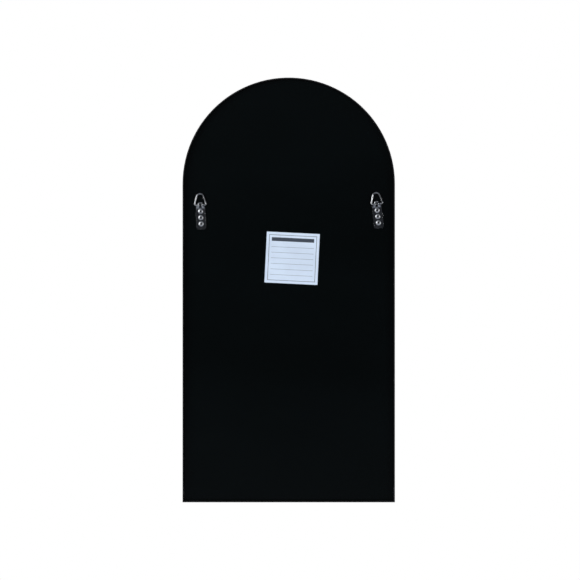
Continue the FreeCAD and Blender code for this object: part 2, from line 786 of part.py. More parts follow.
def build():
    """Make every sub-part and return them in order."""
    fill_sheet()
    heights = spread(int(value("dims.leg_screw_count")), "dims.leg_screw_margin",
                     f"{SPRING_HEIGHT} - dims.leg_screw_margin")
    rail_columns = [f"{HALF_WIDTH} - dims.rail_screw_margin"]
    leg_spots = [spot for sign in ("-", "") for spot in leg_places(sign, heights, BOARD_MIDDLE)]
    rail_spots = [spot for sign in ("-", "") for spot in rail_places(sign, rail_columns, BOARD_MIDDLE)]
    arch_spots = arch_places(int(value("dims.arch_screw_count")), BOARD_MIDDLE)
    left_corner, right_corner = corner_places("-"), corner_places("")

    board_screw_sizes = ("dims.board_screw_diameter", "dims.board_screw_head", "dims.board_screw_length")
    machine_screw_sizes = ("dims.machine_screw_diameter", "dims.machine_screw_head", MACHINE_SCREW_LENGTH)
    board_screw = countersunk_screw("board_screw", *board_screw_sizes)
    machine_screw = countersunk_screw("machine_screw", *machine_screw_sizes)
    board_drill = countersunk_drill("board_drill", *board_screw_sizes, "dims.hole_clearance")
    machine_drill = countersunk_drill("machine_drill", *machine_screw_sizes, "dims.hole_clearance")
    pilot_width = "dims.board_screw_diameter + 2 * dims.screw_fit"
    pilot = straight_drill("board_pilot", "YZ_Plane", pilot_width, "dims.board_screw_length")
    tapped_width = "dims.machine_screw_diameter + 2 * dims.screw_fit"
    tapped = straight_drill("tapped_drill", "YZ_Plane", tapped_width, f"{MACHINE_SCREW_LENGTH} + {OVERCUT}")

    arch_bar = cut("frame_arch", frame_arch_bar(), [
        copies("arch_board_holes", board_drill, leg_spots + arch_spots),
        copies("arch_bracket_holes", machine_drill, left_corner + right_corner),
    ])
    rail = cut("frame_bottom_rail", frame_bottom_bar(), [
        copies("rail_board_holes", board_drill, rail_spots),
        copies("rail_bracket_holes", machine_drill, left_corner + right_corner),
    ])
    brackets = []
    for side, sign, turn, spots in (("left", "-", "0", left_corner), ("right", "", "-90", right_corner)):
        blank = bracket_blank(f"bracket_blank_{side}")
        place(blank, f"{sign}({HALF_WIDTH} - dims.frame_wall)", "0", "dims.frame_wall", turn)
        threads = copies(f"bracket_threads_{side}", tapped, spots)
        brackets.append(cut(f"corner_bracket_{side}", blank, [threads]))
        brackets.append(copies(f"corner_bracket_screws_{side}", machine_screw, spots))

    hanger_screw = pan_head_screw("hanger_screw")
    left_hanger, left_spots = hanger("left", "-", hanger_screw)
    right_hanger, right_spots = hanger("right", "", hanger_screw)
    hanger_width = "dims.hanger_screw_diameter + 2 * dims.screw_fit"
    hanger_pilot = straight_drill("hanger_pilot", "XZ_Plane", hanger_width, "dims.hanger_screw_length")
    backboard = cut("backboard", board_blank(), [
        copies("edge_pilots", pilot, leg_spots + arch_spots + rail_spots),
        copies("hanger_pilots", hanger_pilot, left_spots + right_spots),
    ])
    return [
        arch_bar,
        rail,
        *brackets,
        lip_gasket(),
        mirror_glass(),
        arch_plate("safety_film", FILM_INSET, FILM_BACK, "dims.film_thickness"),
        mounting_tape(),
        setting_blocks(),
        backboard,
        copies("board_screws", board_screw, leg_spots + arch_spots + rail_spots),
        *left_hanger,
        *right_hanger,
        paper_label(),
    ]


def check(pieces):
    """Stop at the first failed object or bad shape."""
    doc.recompute()
    for item in doc.Objects:
        if "Invalid" in item.State or "Error" in item.State:
            raise RuntimeError(f"{item.Label} failed: {item.State}")
    for piece in pieces:
        if piece.Shape.isNull() or not piece.Shape.isValid() or not piece.Shape.Solids:
            raise RuntimeError(f"{piece.Label} has no valid solid")


def write(pieces):
    os.makedirs("parts", exist_ok=True)
    for piece in pieces:
        piece.Shape.exportStep(f"parts/{piece.Label}.step")
        print(f"{piece.Label}: {len(piece.Shape.Solids)} solids, {piece.Shape.Volume / 1000:.2f} cm3")


PIECES = build()
check(PIECES)
write(PIECES)
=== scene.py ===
"""Looks of an arched wall mirror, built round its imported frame. Metres.

+Z is up, the glass faces -Y and the wall is at +Y, so the back of the mirror is seen along -Y.
"""
import bmesh
import bpy
import json
import math
from mathutils import Euler, Matrix, Vector


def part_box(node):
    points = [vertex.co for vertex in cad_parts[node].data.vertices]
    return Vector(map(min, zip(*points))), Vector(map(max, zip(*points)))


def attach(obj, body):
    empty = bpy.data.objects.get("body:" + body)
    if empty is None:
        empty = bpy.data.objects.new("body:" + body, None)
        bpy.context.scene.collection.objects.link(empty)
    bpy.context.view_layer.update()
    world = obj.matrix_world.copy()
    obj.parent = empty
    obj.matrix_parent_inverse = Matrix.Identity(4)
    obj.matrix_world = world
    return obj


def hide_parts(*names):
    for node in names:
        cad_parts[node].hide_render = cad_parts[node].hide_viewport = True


bl_info = {
    "name": "Arched wall mirror",
    "version": (1, 0, 0),
    "blender": (4, 5, 0),
    "location": "3D View > Sidebar > Mirror",
    "description": "Finishes an arched wall mirror and models its hangers and label",
    "category": "Object",
}

SIDES = ("left", "right")
BODY = "mirror"
# Face attribute that marks a screw's recess, painted near black as painted shade in the deep cross
PAINTED_SHADE = "grime"
# Metres by which places may differ and still count as the same
TOLERANCE = 1e-6
# Least part of a face's normal along an axis, for a face that looks along it
FACING = 0.9
# Inputs, output and setting of the Mix node for colours
FACTOR, FIRST, SECOND = 0, 6, 7
OF_COLOURS = {"output": 2, "data_type": "RGBA"}

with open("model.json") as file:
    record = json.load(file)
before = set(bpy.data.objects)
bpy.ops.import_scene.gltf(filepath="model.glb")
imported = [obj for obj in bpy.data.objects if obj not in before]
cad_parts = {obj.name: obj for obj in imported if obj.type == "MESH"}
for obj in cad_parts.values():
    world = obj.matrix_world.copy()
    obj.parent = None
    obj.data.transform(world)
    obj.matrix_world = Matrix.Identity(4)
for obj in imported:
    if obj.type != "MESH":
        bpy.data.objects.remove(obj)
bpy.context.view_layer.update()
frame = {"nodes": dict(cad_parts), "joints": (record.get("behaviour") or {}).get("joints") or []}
JOINTS = {joint["child"]: joint for joint in frame["joints"]}


def hex_colour(code):
    """Linear colour of an sRGB hex code."""
    parts = [int(code[start:start + 2], 16) / 255 for start in (1, 3, 5)]
    linear = [part / 12.92 if part <= 0.04045 else ((part + 0.055) / 1.055) ** 2.4 for part in parts]
    return (*linear, 1.0)


def per_metre(millimetres):
    """Texture scale that gives a pattern of this size."""
    return 1000 / millimetres


def length(name, description, millimetres):
    """Property for a length, given in millimetres."""
    return bpy.props.FloatProperty(
        name=name, description=description, default=millimetres / 1000, unit="LENGTH", precision=5)


def colour(name, description, code):
    """Property for a colour, given as an sRGB hex code."""
    return bpy.props.FloatVectorProperty(
        name=name, description=description, default=hex_colour(code), subtype="COLOR", size=4, min=0, max=1)


class HangerSizes(bpy.types.PropertyGroup):
    """Sizes of a ring hanger, measured from the axis of the ring's bar."""
    sheet: length("Sheet", "Thickness of the strap's sheet", 1.2)
    fold_gap: length("Fold gap", "Gap between the two layers of the strap", 0.1)
    fold_rise: length("Fold rise", "How far the fold stands above the bar", 2.7)
    slope: bpy.props.FloatProperty(
        name="Slope", description="Slope by which the front layer comes down under the bar",
        default=math.radians(22), subtype="ANGLE")
    foot_width: length("Foot width", "Width of the strap above its rounded foot", 18.8)
    top_width: length("Top width", "Width of the strap at its shoulders", 16.6)
    strap_length: length("Strap length", "From the bar down to the strap's foot", 46.0)
    foot_round: length("Foot rounding", "Radius of the foot's corners", 5.0)
    neck_width: length("Neck width", "Width of the fold over the bar", 8.0)
    neck_length: length("Neck length", "From the bar down to the end of the neck", 0.9)
    shoulder_length: length("Shoulder length", "Height of the sloped shoulders", 2.4)
    notch_rise: length("Notch rise", "From the bar up to the tip of the notch", 2.8)
    notch_drop: length("Notch drop", "From the bar down to the foot of the notch", 5.4)
    notch_tip: length("Notch tip", "Width of the notch at its tip", 0.7)
    notch_foot: length("Notch foot", "Width of the notch at its foot", 6.4)
    bend: length("Bend", "Half the length of the bend between the slope and the flat of the strap", 0.6)
    edge_round: length("Edge rounding", "Rounding of the strap's stamped edges", 0.15)
    fold_round: length("Fold rounding", "Rounding of the edges drawn out over the bar", 1.0)
    notch_round: length("Notch rounding", "Rounding of the notch's edges in the fold", 0.75)
    wire: length("Wire", "Diameter of the ring's wire", 2.6)
    ring_fit: length("Ring fit", "Room round the bar in its fold", 0.1)
    ring_width: length("Ring width", "Width of the ring at its bar, over the wire", 23.7)
    ring_height: length("Ring height", "From the bar's axis to the top of the wire's centre line", 21.2)
    ring_corner: length("Ring corner", "Bend radius at the ends of the bar", 2.2)
    ring_apex: length("Ring apex", "Bend radius at the top of the ring", 6.8)
    ring_gap: length("Ring gap", "Gap between the wire's ends in the fold", 2.4)
    wire_round: length("Wire rounding", "Rounding of the wire's cut ends", 0.26)
    slide_left: length("Left slide", "How far the left ring has slid along its bar", -0.9)
    slide_right: length("Right slide", "How far the right ring has slid along its bar", 0.0)
    screw_drop: length("Screw drop", "From the bar down to the first screw", 12.0)
    screw_pitch: length("Screw pitch", "Distance from screw to screw", 11.8)
    screw_count: bpy.props.IntProperty(name="Screws", description="Screws in each strap", default=3, min=1)
    shank: length("Shank", "Diameter of the screw's shank", 4.0)
    screw_fit: length("Screw fit", "Room round the shank in its hole", 0.1)
    screw_length: length("Screw length", "From the seat to the point", 10.0)
    screw_point: length("Screw point", "Length of the screw's tapered point", 3.0)
    head: length("Head", "Diameter of the screw's pan head", 9.2)
    head_height: length("Head height", "Height of the pan head over its seat", 2.6)
    head_rim: length("Head rim", "Height of the head's straight rim", 0.8)
    head_round: length("Head rounding", "Rounding of the screw's edges", 0.13)
    recess_length: length("Recess length", "Span of the cross recess", 4.8)
    recess_width: length("Recess width", "Width of each wing of the recess", 1.4)
    recess_cone: length("Recess cone", "Width of the cone at the middle of the recess", 3.8)
    recess_depth: length("Recess depth", "Depth of the recess under the top of the head", 2.6)


class LabelSizes(bpy.types.PropertyGroup):
    """Sizes of the paper label and its ruled print."""
    width: length("Width", "Width of the label", 100.0)
    height: length("Height", "Height of the label", 96.2)
    paper: length("Paper", "Thickness of the paper", 0.15)
    corner_lift: length("Corner lift", "How far one corner has come off the board", 0.9)
    corner_curl: length("Corner curl", "How far from that corner the paper is bent", 30.0)
    margin: length("Margin", "From the paper's edge to the printed border", 5.0)
    rule: length("Rule", "Thickness of a printed line", 0.8)
    rule_pitch: length("Rule pitch", "Distance from ruled line to ruled line", 10.5)
    heading: length("Heading", "Height of the printed bar at the top", 7.0)
    tilt: bpy.props.FloatProperty(
        name="Tilt", description="How far askew the label was stuck on, about +Y",
        default=math.radians(-2.8), subtype="ANGLE")


class FinishColours(bpy.types.PropertyGroup):
    """Colours of the finishes."""
    powder: colour("Powder coat", "Black coat of the frame", "#121214")
    board: colour("Board", "Black paint of the backing board", "#000303")
    nickel: colour("Nickel", "Plating of the hangers", "#B9BBBE")
    tarnish: colour("Tarnish", "Dull patches of the plating", "#888A8F")
    black_steel: colour("Blackened steel", "Black oxide of the small screws", "#1A1A1C")
    zinc: colour("Zinc", "Plating of the corner brackets", "#B7BABD")
    rubber: colour("Rubber", "Gasket and setting blocks", "#141414")
    silver: colour("Silver", "Silvering seen through the glass", "#E9EDED")
    film: colour("Film", "Safety film behind the glass", "#5C636B")
    foam: colour("Foam", "Foam tape", "#E4E3DE")
    paper: colour("Paper", "Label paper", "#D7E7FC")
    ink: colour("Ink", "Print on the label", "#2B3544")


class StageSizes(bpy.types.PropertyGroup):
    """Camera, lamps and surroundings."""
    view_width: length("View width", "Width that the camera sees at the wall plane", 1092.2)
    view_x: length("View X", "Where the camera's axis meets the wall plane", -2.4)
    view_z: length("View Z", "Height of the camera's axis", 399.85)
    lens: bpy.props.FloatProperty(name="Lens", description="Focal length in millimetres", default=100.0)
    floor_drop: length("Floor", "How far the floor lies below a mirror hung on a wall", 900.0)
    ambient: bpy.props.FloatProperty(name="Ambient", description="Light from all round", default=0.35)
    key_power: bpy.props.FloatProperty(
        name="Key", description="Power of the large softbox", default=28.0, unit="POWER")
    fill_power: bpy.props.FloatProperty(
        name="Fill", description="Power of the small softbox", default=10.0, unit="POWER")
    front_power: bpy.props.FloatProperty(
        name="Front", description="Power of the softbox in front of the glass", default=30.0, unit="POWER")
    white: colour("White", "Floor and background", "#FFFFFF")


def begin(primitive, place=Matrix.Identity(4), **settings):
    """Add a primitive at its size and place, by itself, and open it in edit mode."""
    bpy.ops.object.select_all(action="DESELECT")
    primitive(**settings)
    piece = bpy.context.object
    piece.matrix_world = place
    bpy.ops.object.transform_apply(location=True, rotation=True, scale=True)
    bpy.ops.object.mode_set(mode="EDIT")
    return piece


def choose(piece, kind, wanted):
    """Select the vertices, edges or faces of a piece that pass a test."""
    bpy.ops.mesh.select_all(action="DESELECT")
    bpy.ops.mesh.select_mode(type={"verts": "VERT", "edges": "EDGE", "faces": "FACE"}[kind])
    mesh = bmesh.from_edit_mesh(piece.data)
    for item in getattr(mesh, kind):
        item.select_set(wanted(item))
    mesh.select_flush_mode()
    bmesh.update_edit_mesh(piece.data)


def extrude(move):
    """Extrude what is selected by a vector."""
    bpy.ops.mesh.extrude_region_move(TRANSFORM_OT_translate={"value": move})


def close(piece):
    """Merge doubles, turn the faces outwards and leave edit mode."""
    bpy.ops.mesh.select_all(action="SELECT")
    bpy.ops.mesh.remove_doubles(threshold=TOLERANCE)
    bpy.ops.mesh.normals_make_consistent(inside=False)
    bpy.ops.object.mode_set(mode="OBJECT")
    return piece


def make_active(piece):
    """Select a piece alone and make it the active one."""
    bpy.ops.object.select_all(action="DESELECT")
    piece.select_set(True)
    bpy.context.view_layer.objects.active = piece


def apply_modifier(piece, kind, **settings):
    """Add a modifier with its settings to a piece and apply it."""
    make_active(piece)
    modifier = piece.modifiers.new(kind.lower(), kind)
    for name, setting in settings.items():
        setattr(modifier, name, setting)
    bpy.ops.object.modifier_apply(modifier=modifier.name)


def cut(piece, cutter):
    """Take a closed shape out of a piece."""
    apply_modifier(piece, "BOOLEAN", operation="DIFFERENCE", object=cutter, solver="EXACT")
    bpy.data.objects.remove(cutter)


def soften(piece, width, segments, angle):
    """Round the sharp edges of a piece, clear away slivers and shade it smooth between the edges."""
    apply_modifier(piece, "BEVEL", width=width, segments=segments, limit_method="ANGLE",
                   angle_limit=math.radians(angle))
    bpy.ops.object.mode_set(mode="EDIT")
    bpy.ops.mesh.select_all(action="SELECT")
    bpy.ops.mesh.dissolve_degenerate(threshold=TOLERANCE)
    close(piece)
    bpy.ops.object.shade_smooth_by_angle(angle=math.radians(angle))


def put(model, name, place):
    """Copy a model, with a mesh of its own, to a place on the mirror."""
    piece = model.copy()
    piece.data = model.data.copy()
    piece.name = piece.data.name = name
    bpy.context.collection.objects.link(piece)
    piece.matrix_world = place
    make_active(piece)
    bpy.ops.object.transform_apply(location=True, rotation=True, scale=True)
    return piece


def dress(piece, material, body, node):
    """Finish a new piece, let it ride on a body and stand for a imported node."""
    piece.data.materials.clear()
    piece.data.materials.append(material)
    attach(piece, body)
    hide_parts(node)


def coat(material, *nodes):
    """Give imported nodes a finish."""
    for name in nodes:
        frame["nodes"][name].material_slots[0].material = material


def hanger_place(side):
    """Place of a hanger: its bar along X, the viewer of the back at +Y and its ring at +Z."""
    joint = JOINTS[f"ring_{side}"]
    tilt = math.atan2(joint["axis"][2], -joint["axis"][0])
    return Matrix.Translation(joint["pos_m"]) @ Matrix.Rotation(tilt, 4, "Y")


def feed(tree, node, inputs):
    """Fill or link inputs of a node."""
    for socket, given in inputs.items():
        if isinstance(given, bpy.types.NodeSocket):
            tree.links.new(given, node.inputs[socket])
        else:
            node.inputs[socket].default_value = given


def add(tree, kind, inputs, output=0, **settings):
    """Add a node with its settings and inputs, and return one of its outputs."""
    node = tree.nodes.new("ShaderNode" + kind)
    for name, setting in settings.items():
        setattr(node, name, setting)
    feed(tree, node, inputs)
    return node.outputs[output]


def new_material(name):
    """Material with its node tree, its shader and the place of the shaded point on the piece."""
    material = bpy.data.materials.new(name)
    material.use_nodes = True
    tree = material.node_tree
    return material, tree, tree.nodes["Principled BSDF"], add(tree, "TexCoord", {}, "Object")


def powder_coat(colours):
    """Polyester powder on aluminium, sprayed and baked: a fine orange peel that breaks up highlights, with
    painted shade in its hollows.
    """
    material, tree, shader, point = new_material("powder_coated_aluminium")
    # Real orange peel is about 0.8 mm across, drawn coarser so that it shows
    peel = add(tree, "TexNoise", {"Vector": point, "Scale": per_metre(1.5), "Detail": 3.0})
    # Painted shade: the hollows of the peel are coloured darker, so that the peel shows even in flat light
    lit_peel = add(tree, "MapRange", {"Value": peel, "From Min": 0.35, "From Max": 0.65})
    grain = add(tree, "Mix", {
        FACTOR: lit_peel, FIRST: hex_colour("#09090B"), SECOND: colours.powder}, **OF_COLOURS)
    patches = add(tree, "TexNoise", {"Vector": point, "Scale": per_metre(60)})
    even = add(tree, "MapRange", {"Value": patches, "From Min": 0.4, "From Max": 0.7})
    feed(tree, shader, {
        "Base Color": add(tree, "Mix", {FACTOR: even, FIRST: grain, SECOND: colours.powder}, **OF_COLOURS),
        "Roughness": add(tree, "MapRange", {
            "Value": peel, "From Min": 0.3, "From Max": 0.7, "To Min": 0.38, "To Max": 0.54}),
        "Normal": add(tree, "Bump", {"Height": peel, "Distance": 0.12e-3, "Strength": 0.7}),
    })
    return material


def painted_board(colours):
    """Fibreboard, sanded and rolled with satin black paint: soft sheen, cloudy coats with bluer horizontal
    patches that are partly painted sheen, and a fine stipple.
    """
    material, tree, shader, point = new_material("satin_painted_fibreboard")
    stipple = add(tree, "TexNoise", {"Vector": point, "Scale": per_metre(2.4), "Detail": 4.0})
    rolled = add(tree, "Mapping", {"Vector": point, "Scale": (0.4, 1, 1)})
    clouds = add(tree, "TexNoise", {"Vector": rolled, "Scale": per_metre(180)})
    # Partly painted sheen: random horizontal clouds of bluer paint tone, which also stand in for a faint
    # bluish sheen
    coat_and_sheen = add(tree, "MapRange", {"Value": clouds, "From Min": 0.35, "From Max": 0.7})
    feed(tree, shader, {
        "Base Color": add(tree, "Mix", {
            FACTOR: coat_and_sheen, FIRST: colours.board, SECOND: hex_colour("#000405")}, **OF_COLOURS),
        "Roughness": add(tree, "MapRange", {
            "Value": clouds, "From Min": 0.3, "From Max": 0.7, "To Min": 0.20, "To Max": 0.25}),
        "Normal": add(tree, "Bump", {"Height": stipple, "Distance": 0.02e-3, "Strength": 0.3}),
    })
    return material


def nickel(name, colours, roughness, streak, depth):
    """Nickel plate on steel: bright, with drawn or stamped scratches, dull patches in the plating and
    painted shade in a marked recess.
    """
    material, tree, shader, point = new_material(name)
    patches = add(tree, "TexNoise", {"Vector": point, "Scale": per_metre(6), "Detail": 4.0})
    dull = add(tree, "MapRange", {"Value": patches, "From Min": 0.45, "From Max": 0.75})
    plating = add(tree, "Mix", {FACTOR: dull, FIRST: colours.nickel, SECOND: colours.tarnish}, **OF_COLOURS)
    grime = add(tree, "Attribute", {}, "Fac", attribute_name=PAINTED_SHADE)
    # Real scratches are about 0.1 mm across, drawn coarser so that they show
    drawn_out = add(tree, "Mapping", {"Vector": point, "Scale": (1, 1, 1 / streak)})
    scratches = add(tree, "TexNoise", {"Vector": drawn_out, "Scale": per_metre(0.5)})
    smooth, rough = roughness
    feed(tree, shader, {
        "Metallic": 1.0,
        # Painted shade: faces marked as a screw's recess turn near black, for the shade in the deep cross
        "Base Color": add(tree, "Mix", {
            FACTOR: grime, FIRST: plating, SECOND: hex_colour("#1B1A19")}, **OF_COLOURS),
        "Roughness": add(tree, "MapRange", {
            "Value": scratches, "From Min": 0.3, "From Max": 0.7, "To Min": smooth, "To Max": rough}),
        "Normal": add(tree, "Bump", {"Height": scratches, "Distance": depth, "Strength": 0.7}),
    })
    return material


def blackened_steel(colours):
    """Steel blackened in a hot salt bath: an almost black oxide with a slight oily sheen."""
    material, tree, shader, point = new_material("black_oxide_steel")
    # Real oxide grain is far finer, drawn coarser so that it shows
    grain = add(tree, "TexNoise", {"Vector": point, "Scale": per_metre(0.8), "Detail": 4.0})
    worn = add(tree, "MapRange", {"Value": grain, "From Min": 0.55, "From Max": 0.8})
    feed(tree, shader, {
        "Metallic": 1.0,
        "Base Color": add(tree, "Mix", {
            FACTOR: worn, FIRST: colours.black_steel, SECOND: hex_colour("#2C2C2F")}, **OF_COLOURS),
        "Roughness": add(tree, "MapRange", {
            "Value": grain, "From Min": 0.3, "From Max": 0.7, "To Min": 0.34, "To Max": 0.48}),
    })
    return material


def zinc_plate(colours):
    """Steel plated with zinc and passivated: grey metal with pale crystals and a faint coloured cast."""
    material, tree, shader, point = new_material("zinc_plated_steel")
    cast = 0.15
    # Real crystals are under 1 mm across, drawn coarser so that they show
    crystals = add(tree, "TexVoronoi", {"Vector": point, "Scale": per_metre(2.5)}, "Color")
    patches = add(tree, "TexNoise", {"Vector": point, "Scale": per_metre(4)})
    feed(tree, shader, {
        "Metallic": 1.0,
        "Base Color": add(tree, "Mix", {FACTOR: cast, FIRST: colours.zinc, SECOND: crystals}, **OF_COLOURS),
        "Roughness": add(tree, "MapRange", {
            "Value": patches, "From Min": 0.3, "From Max": 0.7, "To Min": 0.30, "To Max": 0.46}),
    })
    return material


def gasket_rubber(colours):
    """Extruded synthetic rubber: matt and black, with a fine roughness from the die."""
    material, tree, shader, point = new_material("extruded_rubber")
    # Real die marks are about 0.2 mm across, drawn coarser so that they show
    marks = add(tree, "TexNoise", {"Vector": point, "Scale": per_metre(1.2), "Detail": 3.0})
    feed(tree, shader, {
        "Base Color": colours.rubber,
        "Roughness": add(tree, "MapRange", {
            "Value": marks, "From Min": 0.3, "From Max": 0.7, "To Min": 0.75, "To Max": 0.92}),
        "Normal": add(tree, "Bump", {"Height": marks, "Distance": 0.05e-3, "Strength": 0.5}),
    })
    return material


def silvered_glass(colours):
    """Float glass silvered on its back: a clear cool mirror under a smooth glass face with faint smears."""
    material, tree, shader, point = new_material("silvered_float_glass")
    wiped = add(tree, "Mapping", {"Vector": point, "Scale": (1, 1, 0.4)})
    smears = add(tree, "TexNoise", {"Vector": wiped, "Scale": per_metre(45), "Detail": 5.0})
    feed(tree, shader, {
        "Base Color": colours.silver,
        "Metallic": 1.0,
        "Coat Weight": 1.0,
        "Coat Roughness": 0.01,
        "Roughness": add(tree, "MapRange", {
            "Value": smears, "From Min": 0.45, "From Max": 0.75, "To Min": 0.008, "To Max": 0.03}),
    })
    return material


def safety_film(colours):
    """Polyester film with a woven scrim, which holds the glass together if it breaks: a fine grey check."""
    material, tree, shader, point = new_material("woven_safety_film")
    upright = add(tree, "Mapping", {"Vector": point, "Rotation": (math.radians(90), 0, 0)})
    weave = add(tree, "TexBrick", {
        "Vector": upright, "Color1": colours.film, "Color2": hex_colour("#656C74"),
        "Mortar": hex_colour("#4A5158"), "Scale": per_metre(3.0), "Mortar Size": 0.08,
        "Brick Width": 1.0, "Row Height": 1.0}, "Color", offset=0.0)
    feed(tree, shader, {
        "Base Color": weave,
        "Roughness": 0.5,
        "Normal": add(tree, "Bump", {
            "Height": weave.node.outputs["Fac"], "Distance": 0.05e-3, "Strength": 0.5}),
    })
    return material


def foam_tape(colours):
    """Closed-cell polyethylene foam: white, matt and finely pitted."""
    material, tree, shader, point = new_material("polyethylene_foam")
    # Real cells are about 0.3 mm across, drawn coarser so that they show
    cells = add(tree, "TexVoronoi", {"Vector": point, "Scale": per_metre(0.9)}, "Distance")
    walls = add(tree, "MapRange", {"Value": cells, "From Min": 0.2, "From Max": 0.7})
    feed(tree, shader, {
        "Base Color": add(tree, "Mix", {
            FACTOR: walls, FIRST: colours.foam, SECOND: hex_colour("#C9C7C0")}, **OF_COLOURS),
        "Roughness": 0.85,
        "Normal": add(tree, "Bump", {"Height": cells, "Distance": 0.1e-3, "Strength": 0.5}),
    })
    return material


def printed_marks(label):
    """Border, heading bar and ruled lines: middle and half size, each across and up, and darkness."""
    solid_ink, light_ink = 0.97, 0.55
    wide, tall = label.width / 2 - label.margin, label.height / 2 - label.margin
    half_rule, half_heading = label.rule / 2, label.heading / 2
    marks = []
    for side in (-1, 1):
        marks.append((side * (wide - half_rule), 0.0, half_rule, tall, solid_ink))
        marks.append((0.0, side * (tall - half_rule), wide, half_rule, solid_ink))
    inner_wide, inner_tall = wide - label.margin, tall - label.margin
    heading_foot = inner_tall - label.heading
    marks.append((0.0, heading_foot + half_heading, inner_wide, half_heading, solid_ink))
    for index in range(1, int((heading_foot + inner_tall) / label.rule_pitch) + 1):
        middle = heading_foot - index * label.rule_pitch - half_rule
        marks.append((0.0, middle, inner_wide, half_rule, light_ink))
    return marks


def label_paper(colours, label):
    """Machine-coated paper printed in one ink: faintly blue-white and matt, with a ruled border."""
    material, tree, shader, point = new_material("coated_label_paper")
    fibres = add(tree, "TexNoise", {"Vector": point, "Scale": per_metre(1.6), "Detail": 5.0})
    tone = add(tree, "TexNoise", {"Vector": point, "Scale": per_metre(30), "Detail": 3.0})
    shaded = add(tree, "MapRange", {"Value": tone, "From Min": 0.35, "From Max": 0.75})
    paper = add(tree, "Mix", {
        FACTOR: shaded, FIRST: colours.paper, SECOND: hex_colour("#CEDDF2")}, **OF_COLOURS)
    sheet = add(tree, "Mapping", {
        "Vector": add(tree, "TexCoord", {}, "UV"), "Location": (-label.width / 2, -label.height / 2, 0),
        "Scale": (label.width, label.height, 1)})
    across = add(tree, "SeparateXYZ", {0: sheet}, "X")
    up = across.node.outputs["Y"]
    inked = 0.0
    for middle_across, middle_up, half_across, half_up, ink in printed_marks(label):
        beside = add(tree, "Math", {0: across, 1: middle_across, 2: half_across}, operation="COMPARE")
        level = add(tree, "Math", {0: up, 1: middle_up, 2: half_up}, operation="COMPARE")
        mark = add(tree, "Math", {0: beside, 1: level}, operation="MULTIPLY")
        tinted = add(tree, "Math", {0: mark, 1: ink}, operation="MULTIPLY")
        inked = add(tree, "Math", {0: inked, 1: tinted}, operation="MAXIMUM")
    feed(tree, shader, {
        "Base Color": add(tree, "Mix", {FACTOR: inked, FIRST: paper, SECOND: colours.ink}, **OF_COLOURS),
        "Roughness": 0.62,
        "Normal": add(tree, "Bump", {"Height": fibres, "Distance": 0.02e-3, "Strength": 0.4}),
    })
    return material


